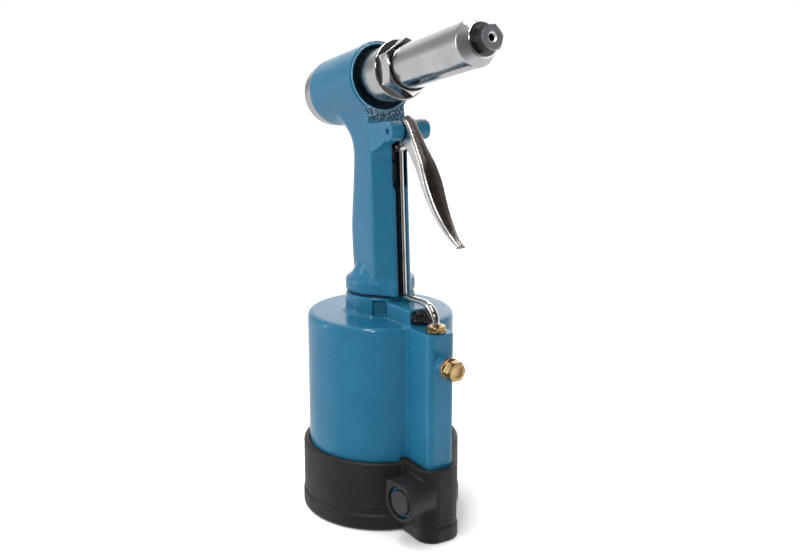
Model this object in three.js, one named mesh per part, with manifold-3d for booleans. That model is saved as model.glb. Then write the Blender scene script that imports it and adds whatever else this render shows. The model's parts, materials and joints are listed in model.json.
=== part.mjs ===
// Air-hydraulic blind riveter: air cylinder base in a rubber boot, upright handle with an oil bore,
// and a head, tilted nose-up, with the pulling mechanism inside. Millimetres, +Z up, +X towards the nose.
import * as THREE from "three";
import { mergeVertices } from "three/addons/utils/BufferGeometryUtils.js";
import Module from "manifold-3d";

const wasm = await Module();
wasm.setup();

// ---- driving dimensions -------------------------------------------------------------------------
const GAP = 0.3; // between faces that meet on the real tool
const CYLINDER = { radius: 42, bore: 38.4, bottom: 4.2, roof: 111.5, top: 117.5 };
const COLUMN = { back: 30, front: 64.5, half: 8, corner: 3, top: 118.3 };
const BOOT = { radius: 45.6, rim: 40.7, humpRim: 43, inner: 42.3 };
const NECK = { radius: 20, hole: 13.2, top: 129 };
const HANDLE = { bottom: 131.3, collar: 137.5, half: 12.4, oilBore: 7 };
const BARREL = { x: 7.3, z: 250.3, tilt: 13.1 };
const HEAD = { radius: 19.9, rear: -56, front: -5.2, bore: 15.6 };
const NOSE = { radius: 12, start: 14.2, shoulder: 85.8, end: 91.6, tip: 98.2 };
const PIVOT = { x: 28, z: 222.5 };
const LINK = { x: 22.4, z: 213.3 };
const VALVE = { x: 58 };
const PLUG = { z: 101.5 };
const INLET = { x: 57, z: 27, azimuth: -80 };
const RAM = { radius: 6.7 };

const deg = THREE.MathUtils.degToRad;
const V3 = (x, y, z) => new THREE.Vector3(x, y, z);

// ---- solids -------------------------------------------------------------------------------------
function manifoldOf(geometry) {
  const bare = geometry.clone();
  bare.deleteAttribute("normal");
  bare.deleteAttribute("uv");
  const merged = mergeVertices(bare, 1e-4);
  const index = merged.index.array;
  const kept = [];
  for (let i = 0; i < index.length; i += 3) {
    const [a, b, c] = [index[i], index[i + 1], index[i + 2]];
    if (a !== b && b !== c && a !== c) kept.push(a, b, c);
  }
  const vertProperties = merged.attributes.position.array;
  const make = (tris) =>
    new wasm.Manifold(
      new wasm.Mesh({ numProp: 3, vertProperties, triVerts: new Uint32Array(tris) }),
    );
  const made = make(kept);
  if (made.volume() > 0) return made;
  const turned = [];
  for (let i = 0; i < kept.length; i += 3) turned.push(kept[i], kept[i + 2], kept[i + 1]);
  return make(turned);
}

function geometryOf(manifold) {
  const mesh = manifold.getMesh();
  const geometry = new THREE.BufferGeometry();
  geometry.setAttribute("position", new THREE.BufferAttribute(mesh.vertProperties.slice(), 3));
  geometry.setIndex(new THREE.BufferAttribute(mesh.triVerts.slice(), 1));
  return geometry;
}

const join = (...parts) => geometryOf(parts.map(manifoldOf).reduce((a, b) => a.add(b)));
const common = (a, b) => geometryOf(manifoldOf(a).intersect(manifoldOf(b)));

function cut(base, ...tools) {
  let left = manifoldOf(base);
  for (const tool of tools) left = left.subtract(manifoldOf(tool));
  return geometryOf(left);
}

// ---- shapes -------------------------------------------------------------------------------------
// A turned piece about Z from [radius, z] points, closed on itself unless both ends are on the axis.
function turned(profile, segments = 24) {
  const points = profile.map(([r, z]) => new THREE.Vector2(r, z));
  const onAxis = points[0].x === 0 && points[points.length - 1].x === 0;
  if (!onAxis) points.push(points[0].clone());
  return new THREE.LatheGeometry(points, segments).rotateX(Math.PI / 2);
}

const rod = (r, z0, z1, segments = 20) =>
  turned([[0, z0], [r, z0], [r, z1], [0, z1]], segments);

const ring = (r0, r1, z0, z1, segments = 24) =>
  turned([[r0, z0], [r1, z0], [r1, z1], [r0, z1]], segments);

function box(x0, x1, y0, y1, z0, z1) {
  const g = new THREE.BoxGeometry(x1 - x0, y1 - y0, z1 - z0);
  return g.translate((x0 + x1) / 2, (y0 + y1) / 2, (z0 + z1) / 2);
}

function prism(points, z0, z1, holes = []) {
  const shape = new THREE.Shape(points.map(([x, y]) => new THREE.Vector2(x, y)));
  for (const hole of holes) shape.holes.push(new THREE.Path(hole.map(([x, y]) => new THREE.Vector2(x, y))));
  const g = new THREE.ExtrudeGeometry(shape, { depth: z1 - z0, bevelEnabled: false, curveSegments: 12 });
  return g.translate(0, 0, z0);
}

// A prism whose outline is drawn in X and Z and which runs along Y.
function sidePrism(points, y0, y1) {
  const g = prism(points.map(([x, z]) => [x, z]), -y1, -y0);
  return g.rotateX(Math.PI / 2);
}

function arc(cx, cy, r, from, to, steps) {
  const out = [];
  for (let i = 0; i <= steps; i++) {
    const a = deg(from + ((to - from) * i) / steps);
    out.push([cx + r * Math.cos(a), cy + r * Math.sin(a)]);
  }
  return out;
}

function hexagon(acrossFlats, turn = 0) {
  const r = acrossFlats / Math.sqrt(3);
  return arc(0, 0, r, turn, turn + 300, 5);
}

// A hexagon head whose corners are chamfered at the far end.
function hexHead(acrossFlats, z0, z1, chamfer, turn = 0) {
  const r = acrossFlats / Math.sqrt(3);
  const flat = acrossFlats / 2;
  const cone = turned([[0, z0 - 1], [r + 1, z0 - 1], [r + 1, z1 - chamfer - (r + 1 - r) * 0.5],
    [flat - 0.2, z1], [0, z1]], 24);
  return common(prism(hexagon(acrossFlats, turn), z0, z1), cone);
}

// Skin over rings of equal length, with both ends closed. The rings may be hollowed in like a U.
function loft(rings) {
  const n = rings[0].length;
  const positions = rings.flat().flatMap((p) => [p.x, p.y, p.z]);
  const index = [];
  for (let i = 0; i + 1 < rings.length; i++) {
    for (let j = 0; j < n; j++) {
      const k = (j + 1) % n;
      const [a, b, c, d] = [i * n + j, i * n + k, (i + 1) * n + k, (i + 1) * n + j];
      index.push(a, b, c, a, c, d);
    }
  }
  for (const [at, flip] of [[0, true], [rings.length - 1, false]]) {
    for (const t of capOf(rings[at])) {
      const [a, b, c] = t.map((v) => at * n + v);
      index.push(a, ...(flip ? [c, b] : [b, c]));
    }
  }
  const g = new THREE.BufferGeometry();
  g.setAttribute("position", new THREE.Float32BufferAttribute(positions, 3));
  g.setIndex(index);
  return g;
}

function capOf(loop) {
  const normal = V3(0, 0, 0);
  loop.forEach((p, i) => normal.add(p.clone().cross(loop[(i + 1) % loop.length])));
  normal.normalize();
  const side = Math.abs(normal.z) < 0.9 ? V3(0, 0, 1).cross(normal).normalize() : V3(1, 0, 0);
  const up = normal.clone().cross(side);
  const flat = loop.map((p) => new THREE.Vector2(p.dot(side), p.dot(up)));
  return THREE.ShapeUtils.triangulateShape(flat, []);
}

// A round bar along a smooth path, swept as an extrusion.
function wire(points, radius, sides, steps, closed = false) {
  const path = new THREE.CatmullRomCurve3(points, closed);
  const shape = new THREE.Shape(
    arc(0, 0, radius, 0, 360 - 360 / sides, sides - 1).map(([x, y]) => new THREE.Vector2(x, y)),
  );
  return new THREE.ExtrudeGeometry(shape, { steps, extrudePath: path, bevelEnabled: false });
}

// A compression spring about Z, with closed coils at both ends.
function spring(radius, wireRadius, z0, z1, coils, perCoil = 14) {
  const rings = [];
  const total = (coils + 2) * perCoil;
  const lead = wireRadius * 2.15;
  const low = z0 + wireRadius;
  const high = z1 - wireRadius;
  const middle = high - low - 2 * lead;
  for (let i = 0; i <= total; i++) {
    const turns = i / perCoil;
    const a = turns * 2 * Math.PI;
    let z = low + lead + (middle * (turns - 1)) / coils;
    if (turns < 1) z = low + lead * turns;
    if (turns > coils + 1) z = high - lead * (coils + 2 - turns);
    const out = V3(Math.cos(a), Math.sin(a), 0);
    rings.push(arc(0, 0, wireRadius, 0, 288, 4).map(([u, v]) =>
      out.clone().multiplyScalar(radius + u).setZ(z + v)));
  }
  return loft(rings);
}

const torus = (radius, section, z, around = 32, sides = 6) =>
  new THREE.TorusGeometry(radius, section, sides, around).translate(0, 0, z);

// ---- frames -------------------------------------------------------------------------------------
const tilt = deg(BARREL.tilt);
const AHEAD = V3(Math.cos(tilt), 0, Math.sin(tilt));
const ABOVE = V3(-Math.sin(tilt), 0, Math.cos(tilt));
const barrelFrame = new THREE.Matrix4()
  .makeBasis(ABOVE, V3(0, -1, 0), AHEAD)
  .setPosition(BARREL.x, 0, BARREL.z);
const inBarrel = (g) => g.applyMatrix4(barrelFrame);

const inletTurn = deg(INLET.azimuth);
const inletFrame = new THREE.Matrix4()
  .makeBasis(
    V3(-Math.sin(inletTurn), Math.cos(inletTurn), 0),
    V3(0, 0, 1),
    V3(Math.cos(inletTurn), Math.sin(inletTurn), 0),
  )
  .setPosition(INLET.x, 0, INLET.z);
const inInlet = (g) => g.applyMatrix4(inletFrame);

const alongX = (g, x, y, z) => g.rotateY(Math.PI / 2).translate(x, y, z);
const alongY = (g, x, z) => g.rotateX(Math.PI / 2).translate(x, 0, z);

// ---- materials and nodes ------------------------------------------------------------------------
const LOOKS = {
  paint: [0x2b7896, 0.32, 0.1],
  rubber: [0x17181a, 0.75, 0],
  chrome: [0xc9ccd0, 0.12, 1],
  steel: [0x9da1a6, 0.32, 1],
  nickel: [0x8d857f, 0.25, 1],
  brass: [0xc09a4e, 0.3, 1],
  black: [0x202124, 0.4, 0.6],
  aluminium: [0xb6babd, 0.4, 0.9],
  seal: [0x0f0f10, 0.8, 0],
  urethane: [0x8a5a2a, 0.6, 0],
  copper: [0xa8683c, 0.35, 1],
  silver: [0xd4d6d8, 0.3, 0.8],
  plastic: [0x26282b, 0.55, 0],
};
const riveter = new THREE.Group();
riveter.name = "blind_riveter";

function node(name, look, geometry) {
  const [color, roughness, metalness] = LOOKS[look];
  const solid = geometryOf(manifoldOf(geometry)).toNonIndexed();
  solid.computeVertexNormals();
  const mesh = new THREE.Mesh(solid, new THREE.MeshStandardMaterial({ color, roughness, metalness }));
  mesh.name = name;
  riveter.add(mesh);
}

// ---- boot ---------------------------------------------------------------------------------------
function roundedBar(back, front, half, corner, steps = 6) {
  return [
    [back, -half],
    ...arc(front - corner, -half + corner, corner, -90, 0, steps),
    ...arc(front - corner, half - corner, corner, 0, 90, steps),
    [back, half],
  ];
}

function bootShape() {
  const r = BOOT.radius;
  const wall = turned([[0, 0], [r - 0.6, 0], [r + 0.7, 1.4], [r + 0.7, 8.8], [r - 0.4, 10.4],
    [r - 0.4, 11.8], [r + 0.1, 12.6], [r, BOOT.rim - 1.2], [r - 0.9, BOOT.rim], [0, BOOT.rim]], 44);
  const hump = prism(roundedBar(20, 68.4, 12.2, 9.6), 0, BOOT.humpRim);
  const foot = prism(roundedBar(20, 69, 12.8, 10.1), 1, 8.8);
  const boss = inInlet(join(rod(10.8, 8, 26, 24),
    prism([[-10.8, 0], [0, 0], [0, 10.8], ...arc(-7.8, 7.8, 3, 90, 180, 4)], 8, 26)));
  const inner = turned([[0, 3.6], [BOOT.inner, 3.6], [BOOT.inner, 60], [0, 60]], 44);
  const opening = rod(31, -1, 5, 32);
  const pocket = prism(roundedBar(20, COLUMN.front + GAP, COLUMN.half + GAP, COLUMN.corner + GAP), 3.6, 60);
  const port = inInlet(rod(9, 6.6, 30, 24));
  return cut(join(wall, hump, foot, boss), inner, opening, pocket, port);
}
node("boot", "rubber", bootShape());

node("dust_plug", "plastic", inInlet(turned([[0, 13], [4.2, 13], [5, 14], [5, 16.4], [4.6, 16.8], [4.6, 17.4],
  [5, 17.8], [5, 20], [7.2, 20.6], [7.2, 24.9], [6.4, 25.7], [0, 25.9]], 20)));
node("inlet_bush", "brass", inInlet(turned([[5.3, 12.4], [6.9, 12.4], [6.9, 19.6], [5.3, 19.6]], 20)));

// ---- air cylinder -------------------------------------------------------------------------------
function cylinderShape() {
  const { radius: r, bottom, top, roof, bore } = CYLINDER;
  const barrel = turned([[0, bottom], [r, bottom], [r, top - 2.4], [r - 0.7, top - 0.7], [r - 2.4, top],
    [0, top]], 44);
  const column = prism(roundedBar(COLUMN.back, COLUMN.front, COLUMN.half, COLUMN.corner), bottom, COLUMN.top);
  const neck = turned([[0, top - 2], [NECK.radius + 2.2, top - 0.2], [NECK.radius + 0.6, top + 0.6],
    [NECK.radius, top + 2.2], [NECK.radius, NECK.top - 1], [NECK.radius - 1, NECK.top], [0, NECK.top]], 32);
  const web = prism([[10, -12.5], [16, -11.6], [22, -9.2], [30, -8], [43, -7.6], [43, 7.6], [30, 8],
    [22, 9.2], [16, 11.6], [10, 12.5]], top - 4, 127.4);
  const notches = [-32, 32, 148, -148].map((a) =>
    box(17.2, 24, -4, 4, top + 0.8, 127.2).rotateZ(deg(a)));
  const pocket = box(38.6, 50, -5.8, 5.8, COLUMN.top + 1, 126);
  const plugBoss = alongX(rod(4.8, 60, 70.2, 20), 0, 0, PLUG.z);
  const port = inInlet(turned([[0, 3], [6, 3], [6, 7], [8.6, 7], [8.6, 21.5], [8.2, 22], [0, 22]], 24));
  const chamber = turned([[0, bottom - 1], [39.6, bottom - 1], [39.6, 5.9], [bore, 5.9], [bore, roof - 2],
    [bore - 2, roof], [NECK.hole, roof], [NECK.hole, NECK.top + 1], [0, NECK.top + 1]], 44);
  const solid = join(barrel, column, cut(join(neck, web), ...notches, pocket), plugBoss, port);
  return cut(solid, chamber, rod(4.3, 62, COLUMN.top + 1, 32).translate(VALVE.x, 0, 0),
    rod(3.2, 14, 63, 16).translate(VALVE.x, 0, 0), alongX(rod(3.5, 63.4, 72, 16), 0, 0, PLUG.z),
    inInlet(rod(7.2, 12, 24, 20)), inInlet(rod(2.6, 0.5, 13, 16)),
    alongX(rod(2.4, 30, VALVE.x, 20), 0, 0, 70));
}
node("air_cylinder", "paint", cylinderShape());

node("end_cap", "aluminium", cut(turned([[0, 8.2], [12, 8.2], [14, 6.2], [38.1, 6.2], [38.1, 9.2], [36.3, 9.2],
  [36.3, 11.8], [38.1, 11.8], [38.1, 13.8], [8, 13.8], [0, 13.8]], 32), rod(2, 5, 15, 16).translate(22, 0, 0),
rod(2, 5, 15, 16).translate(-22, 0, 0)));
node("end_cap_seal", "seal", torus(37.35, 0.95, 10.5, 36, 6));

function retainingRing() {
  const outer = arc(0, 0, 39.4, 8, 352, 30);
  const inner = arc(0, 0, 35.4, 352, 8, 30);
  const lug = (a) => rod(3.4, 4.6, 5.9, 20).translate(34.2, 0, 0).rotateZ(deg(a));
  const hole = (a) => rod(1.1, 4, 7, 16).translate(34, 0, 0).rotateZ(deg(a));
  return cut(join(prism([...outer, ...inner], 4.6, 5.9), lug(12.5), lug(-12.5)), hole(12.5), hole(-12.5));
}
node("retaining_ring", "steel", retainingRing());

node("piston_bumper", "urethane", turned([[18, 14.1], [24, 14.1], [24.6, 15], [24, 16], [18, 16],
  [17.4, 15]], 24));
node("air_piston", "aluminium", turned([[6.2, 16.3], [10.8, 16.3], [10.8, 19], [30, 19], [32, 16.8], [38.1, 16.8],
  [38.1, 19.4], [35.6, 19.4], [35.6, 23], [38.1, 23], [38.1, 25.4], [14, 26.4], [12, 29.4], [6.2, 29.4]], 36));
node("air_piston_seal", "seal", turned([[35.8, 19.7], [37.4, 19.7], [38.25, 20.5], [38.25, 21.9], [37.4, 22.7],
  [35.8, 22.7]], 32));
node("ram", "chrome", turned([[0, 17.6], [4.4, 17.6], [5.9, 19], [5.9, 29.7], [RAM.radius, 29.7],
  [RAM.radius, 147], [4.8, 150], [0, 150]], 20));

node("neck_nut", "steel", cut(ring(NECK.hole - 0.1, 19.5, 103.4, 111.2, 24),
  ...[0, 90, 180, 270].map((a) => box(16.8, 24, -2.4, 2.4, 102, 107).rotateZ(deg(a)))));
node("ram_seal", "urethane", turned([[6.9, 106.2], [9.6, 106.2], [9.6, 109.6], [8.4, 109.6], [8.2, 108.4],
  [6.9, 109.6]], 20));
node("ram_guide", "brass", ring(6.9, 9.7, 99.6, 105.9, 20));
node("neck_gasket", "seal", ring(13.3, 19, NECK.top + 0.2, HANDLE.bottom - 0.2, 32));
node("silencer", "plastic", box(38.9, 43.4, -5.5, 5.5, COLUMN.top + 1.3, 125.7));

// ---- valve --------------------------------------------------------------------------------------
const atValve = (g) => g.translate(VALVE.x, 0, 0);
node("valve_bush", "brass", atValve(cut(join(hexHead(9.6, 119.6, 121.9, 0.6, 30),
  turned([[0, 118.6], [5.2, 118.6], [5.5, 118.9], [5.5, 119.6], [0, 119.6]], 20), rod(4.1, 107, 118.7, 32)),
  rod(2.15, 100, 130, 16))));
node("valve_stem", "steel", atValve(turned([[0, 64.5], [1.5, 64.5], [2.4, 66], [2.4, 72], [1.4, 73], [1.4, 80],
  [3.9, 80.6], [3.9, 84], [1.9, 84.6], [1.9, 121.2], [0, 121.2]], 16)));
node("valve_seal", "seal", atValve(torus(2.95, 0.9, 105.6, 20, 6)));
node("valve_spring", "steel", atValve(spring(3, 0.42, 84.4, 103.6, 6, 8)));
node("valve_seat", "brass", atValve(turned([[2.7, 63.2], [4.1, 63.2], [4.1, 66], [3.3, 68], [2.7, 66.4]], 20)));
node("plug_washer", "copper", alongX(ring(3.7, 5.9, 70.4, 71, 20), 0, 0, PLUG.z));
node("brass_plug", "brass", alongX(join(rod(3.3, 64.2, 72, 20),
  turned([[0, 71.2], [6, 71.2], [6, 72.5], [5.7, 72.9], [0, 72.9]], 20), hexHead(10, 72.9, 78.3, 0.8, 30)),
0, 0, PLUG.z));

// ---- handle and head casting --------------------------------------------------------------------
const frontAt = (z) => 21 + (206 - z) * 0.0521;
const BACK = [[131, -18], [143, -18.2], [152, -19.2], [165, -20], [178, -18.9], [190, -17.6], [205, -16.5],
  [212, -17.6], [217, -20.6], [221, -26], [226, -36], [240, -42]];

function backAt(z) {
  const i = Math.max(1, BACK.findIndex(([at]) => at >= z));
  const [[z0, x0], [z1, x1]] = [BACK[i - 1], BACK[i]];
  return x0 + ((x1 - x0) * (z - z0)) / (z1 - z0);
}

function handleRing(z) {
  const front = frontAt(z);
  const back = backAt(z);
  const half = HANDLE.half;
  const middle = Math.min(-4, back + half);
  const depth = middle - back;
  const right = [[front, 0], [front, 4.6], [front - 3.4, 7.6], [front - 7, 10.2], [front - 11, 11.6],
    [front - 16, half - 0.1]];
  const rear = [];
  for (let i = 0; i <= 6; i++) {
    const a = (Math.PI / 2) * (i / 6);
    rear.push([middle - depth * Math.sin(a), half * Math.cos(a)]);
  }
  const upper = [...right, ...rear];
  const lower = upper.slice(1, -1).reverse().map(([x, y]) => [x, -y]);
  return [...upper, ...lower].map(([x, y]) => V3(x, y, z));
}

function castingShape() {
  const levels = [131.3, 143, 152, 165, 178, 190, 205, 212, 217, 221, 226, 240];
  const grip = loft(levels.map(handleRing));
  const { bottom, collar } = HANDLE;
  const foot = turned([[0, bottom], [19, bottom], [20, bottom + 1], [20, collar - 0.8], [19.2, collar],
    [16, collar + 2.6], [13, collar + 9], [0, collar + 9]], 32);
  const spigot = rod(12.9, 99.2, bottom + 1, 24);
  const block = sidePrism([[-5, 206], [14.2, 206.4], [18.5, 209.4], [22.5, 214.4], [25, 216.6],
    ...arc(PIVOT.x, PIVOT.z, 5.5, -90, 90, 8), [7.8, 225.3], [2, 238], [-5, 238]], -12, 12);
  const head = inBarrel(rod(HEAD.radius, HEAD.rear, HEAD.front + 8, 32));
  const frontX = (z) => BARREL.x + HEAD.front * Math.cos(tilt) - (z - BARREL.z - HEAD.front * Math.sin(tilt)) *
    Math.tan(tilt);
  const ahead = sidePrism([[frontX(225.3), 225.3], [PIVOT.x, 228.1], [70, 228.1], [70, 310],
    [frontX(310), 310]], -40, 30);
  const slot = sidePrism([[14.6, 204], [60, 204], [60, 240], [22, 240], [18, 226], [14.6, 222]], -4.1, 4.1);
  const grooveAt = (z0, z1, deep, half) =>
    sidePrism([[frontAt(z0) - deep, z0], [40, z0], [40, z1], [frontAt(z1) - deep, z1]], -half, half);
  const groove = join(grooveAt(96, 190, 5, 2.8), grooveAt(192, 213, 6, 4.5),
    loft([[190, 2.8, 5], [192.1, 4.5, 6]].map(([z, h, d]) => {
      const x = frontAt(z) - d;
      return [V3(x, -h, z), V3(40, -h, z), V3(40, h, z), V3(x, h, z)];
    })), grooveAt(189.9, 192.1, 5, 2.7));
  const keep = box(-60, 60, -40, 40, bottom - 0.01, 300);
  const bore = inBarrel(turned([[0, HEAD.rear - 2], [HEAD.bore, HEAD.rear - 2], [HEAD.bore, -9.6], [11, -9.6],
    [11, -7.2], [17, -7.2], [17.4, 10], [0, 10]], 32));
  const oil = join(rod(HANDLE.oilBore, 112, 218, 32), rod(2.5, 216, 236, 20).translate(-3.4, 0, 0),
    rod(10, 98, 110, 20), rod(7, 109, 113, 32));
  const pinHole = alongY(rod(1.6, -20, 20, 16), PIVOT.x, PIVOT.z);
  const upper = cut(join(grip, foot, block, head), ahead, slot, common(groove, keep), bore, oil, pinHole);
  return join(upper, cut(spigot, oil));
}
node("handle_casting", "paint", castingShape());

// ---- head ---------------------------------------------------------------------------------------
node("rear_cap", "silver", inBarrel(cut(turned([[3.4, -66.4], [15, -66.4], [17.4, -65.6], [18.4, -63.4], [18.4, -57.6],
  [18, -56.3], [15.3, -56.3], [15.3, -51.2], [9.6, -51.2], [9.6, -53.4], [3.4, -53.4]], 32),
box(-2, 2, -20, 20, -68, -64.4), turned([[0, -68], [12, -68], [12, -64.4], [0, -64.4]], 36))));
node("rear_cap_seal", "seal", inBarrel(ring(13, 15.2, -50.9, -49.9, 24)));
node("head_piston", "aluminium", inBarrel(turned([[6.2, -21.4], [15.3, -21.4], [15.3, -18.4], [13.2, -18.4],
  [13.2, -14.6], [15.3, -14.6], [15.3, -11.6], [14.6, -10.9], [6.2, -10.9]], 32)));
node("head_piston_seal", "urethane", inBarrel(turned([[13.4, -18.1], [15, -18.1], [15.5, -17.3], [15.5, -15.7],
  [15, -14.9], [13.4, -14.9]], 32)));
node("return_spring", "steel", inBarrel(spring(11, 1.05, -49.6, -21.6, 4.5, 10)));
node("pull_rod", "steel", inBarrel(turned([[3.3, -22.4], [5.9, -22.4], [5.9, 38], [3.3, 38]], 32)));
node("pull_rod_nut", "steel", inBarrel(cut(prism(hexagon(15), -24.6, -21.7), rod(6.1, -26, -20, 20))));
node("mandrel_tube", "steel", inBarrel(ring(2.2, 3, -63.6, 32, 16)));
node("head_sleeve", "chrome", inBarrel(turned([[6.3, -9.2], [10.7, -9.2], [10.7, -7], [15, -7], [15, 12.9],
  [14.5, 13.5], [10.1, 13.5], [10.1, 2.4], [8.4, 2.4], [8.4, -2.4], [6.3, -2.4]], 32)));
node("pull_rod_seal", "urethane", inBarrel(ring(6.1, 8.2, -2.1, 2.1, 20)));
node("lock_nut", "chrome", inBarrel(cut(join(turned([[0, 13.8], [15.7, 13.8], [16.3, 14.3], [16.3, 15.5],
  [15.7, 16.1], [0, 16.1]], 32), hexHead(26.6, 16, 25.6, 1.4, 0)), rod(12.25, 10, 40, 24))));
node("nose_casing", "chrome", inBarrel(turned([[8.2, 3.2], [9.8, 3.2], [9.8, 13.4], [NOSE.radius, NOSE.start],
  [NOSE.radius, NOSE.shoulder - 0.6], [NOSE.radius - 0.4, NOSE.shoulder + 0.5], [8.6, NOSE.end - 0.4],
  [8, NOSE.end], [4.6, NOSE.end], [4.6, 81.6], [9.2, 81.6], [9.2, 12.2], [8.2, 12.2]], 32)));
node("nosepiece", "black", inBarrel(cut(join(hexHead(11.8, NOSE.end + 0.3, NOSE.tip, 0.7, 35),
  turned([[0, 76.6], [2.9, 76.6], [4.3, 82], [4.3, NOSE.end + 1], [0, NOSE.end + 1]], 20)),
turned([[0, 70], [2.2, 70], [2.2, 90], [1.75, 91], [1.75, 110], [0, 110]], 20))));
node("jaw_case", "steel", inBarrel(turned([[6.2, 30.4], [8.9, 30.4], [8.9, 76.6], [7.4, 78.8], [4.9, 78.8],
  [6.9, 67.6], [6.9, 40.4], [6.2, 40.4]], 24)));
node("jaw_pusher", "steel", inBarrel(turned([[3.3, 52], [6.3, 52], [6.3, 58], [5.6, 59.4], [5.2, 61.8], [3.3, 63.4]],
  28)));
node("pusher_spring", "steel", inBarrel(spring(5.2, 0.55, 41, 51.8, 3, 8)));

// One of the three gripping jaws: a sector of a hollow cone with steps along its bore.
function jaw(turn) {
  const whole = turned([[1.7, 64], [4.9, 64], [6.5, 67.4], [4.9, 76.2], [2.1, 76.2], [1.7, 75.4], [1.9, 74.4],
    [1.7, 73.4], [1.9, 72.4], [1.7, 71.4], [1.9, 70.4], [1.7, 69.4]], 24);
  const sector = prism([[0.3, 0], ...arc(0, 0, 12, -58, 58, 8)], 60, 80);
  return inBarrel(common(whole, sector.rotateZ(deg(turn))));
}
node("jaw_1", "steel", jaw(0));
node("jaw_2", "steel", jaw(120));
node("jaw_3", "steel", jaw(240));

// ---- trigger and its linkage --------------------------------------------------------------------
// Stations down the trigger: face centre x and z, inward direction, half width, depth.
const STATIONS = [
  [29.2, 230.4, -100, 3.3, 9.4], [32.6, 228.6, -122, 3.6, 11.6], [36.4, 224.2, -139, 3.7, 11.4],
  [40, 219.6, -142, 4, 9.2], [43.6, 215.2, -142, 4.3, 7.4], [47, 211.2, -143, 4.8, 6.8],
  [50.6, 206.9, -146, 5.3, 6], [55.4, 199, -151, 5.9, 5.2], [59, 192.4, -150, 5.6, 4.7],
  [62.4, 187, -146, 5.1, 4.2], [66, 182.2, -142, 4.5, 3.8], [69.6, 178.2, -136, 3.9, 3.3],
  [73, 174.8, -130, 3.3, 2.9], [76.4, 172, -124, 2.9, 2.5], [79, 170.3, -120, 2.8, 2.2],
  [80.8, 169.4, -118, 2.8, 2],
];

function triggerRing([x, z, heading, half, depth], grow) {
  const inward = V3(Math.cos(deg(heading)), 0, Math.sin(deg(heading)));
  const w = half - grow;
  const corner = Math.min(1.9, w * 0.6);
  const top = grow;
  const outline = [[-w, depth], ...arc(-w + corner, top + corner, corner, 180, 270, 3), [0, top - 0.25],
    ...arc(w - corner, top + corner, corner, 270, 360, 3), [w, depth]];
  return outline.map(([y, t]) => V3(x, y, z).addScaledVector(inward, t));
}

function triggerShape() {
  const outer = STATIONS.map((s) => triggerRing(s, 0));
  const inner = STATIONS.slice(1, -1).map((s) => triggerRing([...s.slice(0, 4), s[4] + 3], 1.5));
  const tail = (y0, y1) => sidePrism([
    ...arc(LINK.x, LINK.z, 3, 150, 330, 8), ...arc(PIVOT.x, PIVOT.z, 4.7, -30, 150, 8)], y0, y1);
  const shell = cut(loft(outer), loft(inner));
  const bushes = alongY(rod(4.7, -3.6, 3.6, 20), PIVOT.x, PIVOT.z);
  const slot = sidePrism([...arc(LINK.x, LINK.z, 1.5, 110, 290, 8),
    ...arc(LINK.x + 3.1, LINK.z + 1.1, 1.5, -70, 110, 8)], -6, 6);
  const body = cut(join(shell, tail(-3.6, -2.2), tail(2.2, 3.6), bushes), slot,
    alongY(rod(1.58, -8, 8, 20), PIVOT.x, PIVOT.z));
  return cut(body, box(19, 27.2, -2.2, 2.2, 205, 217));
}
node("trigger", "nickel", triggerShape());
node("trigger_pin", "steel", alongY(turned([[0, -12.4], [1.2, -12.4], [1.5, -12.1], [1.5, 12.1], [1.2, 12.4],
  [0, 12.4]], 16), PIVOT.x, PIVOT.z));
node("link_pin", "steel", alongY(rod(1.15, -3.5, 3.5, 20), LINK.x, LINK.z));

const FOOT = { x: 26.9, z: 130.6 };
const lean = Math.atan2(FOOT.x - LINK.x, LINK.z - FOOT.z);
const down = (g) => g.rotateY(-lean).translate(FOOT.x, 0, FOOT.z);
const rodLength = Math.hypot(FOOT.x - LINK.x, LINK.z - FOOT.z);
node("push_rod", "chrome", cut(join(down(rod(1.3, -1.2, rodLength - 1.5, 20)),
  alongY(rod(2.4, -1.9, 1.9, 16), LINK.x, LINK.z)), alongY(rod(1.25, -4, 4, 20), LINK.x, LINK.z)));

// The formed crank: from the eye on the rod, forward over the web and down to the valve stem.
const CRANK = [
  [25.4, 131.2, 1.2, 1.1], [28, 131.3, 2.1, 1.5], [34, 131.4, 2.1, 1.6], [40, 132, 2.1, 1.6],
  [44.8, 132.2, 2.2, 1.7], [48.8, 131.4, 2.3, 1.8], [52.2, 129.7, 2.4, 1.9], [55.2, 127.3, 2.3, 1.9],
  [57.2, 124.9, 2, 1.8], [58, 123, 1.7, 1.7], [58, 121.5, 1.6, 1.6],
];

function crankShape() {
  const rings = CRANK.map(([x, z, half, thick], i) => {
    const [x0, z0] = CRANK[Math.max(0, i - 1)];
    const [x1, z1] = CRANK[Math.min(CRANK.length - 1, i + 1)];
    const along = V3(x1 - x0, 0, z1 - z0).normalize();
    const up = V3(0, 1, 0).cross(along).negate();
    return arc(0, 0, 1, 0, 345, 15).map(([y, t]) =>
      V3(x, y * half, z).addScaledVector(up, t * thick));
  });
  return cut(loft(rings), down(rod(1.4, -4, 6, 20)));
}
node("valve_crank", "chrome", crankShape());

export default riveter;
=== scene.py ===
# Air-hydraulic blind riveter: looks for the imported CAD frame. Shapes are drawn in millimetres.
import json
import math

import bmesh
import bpy
from mathutils import Matrix, Vector, noise


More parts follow.
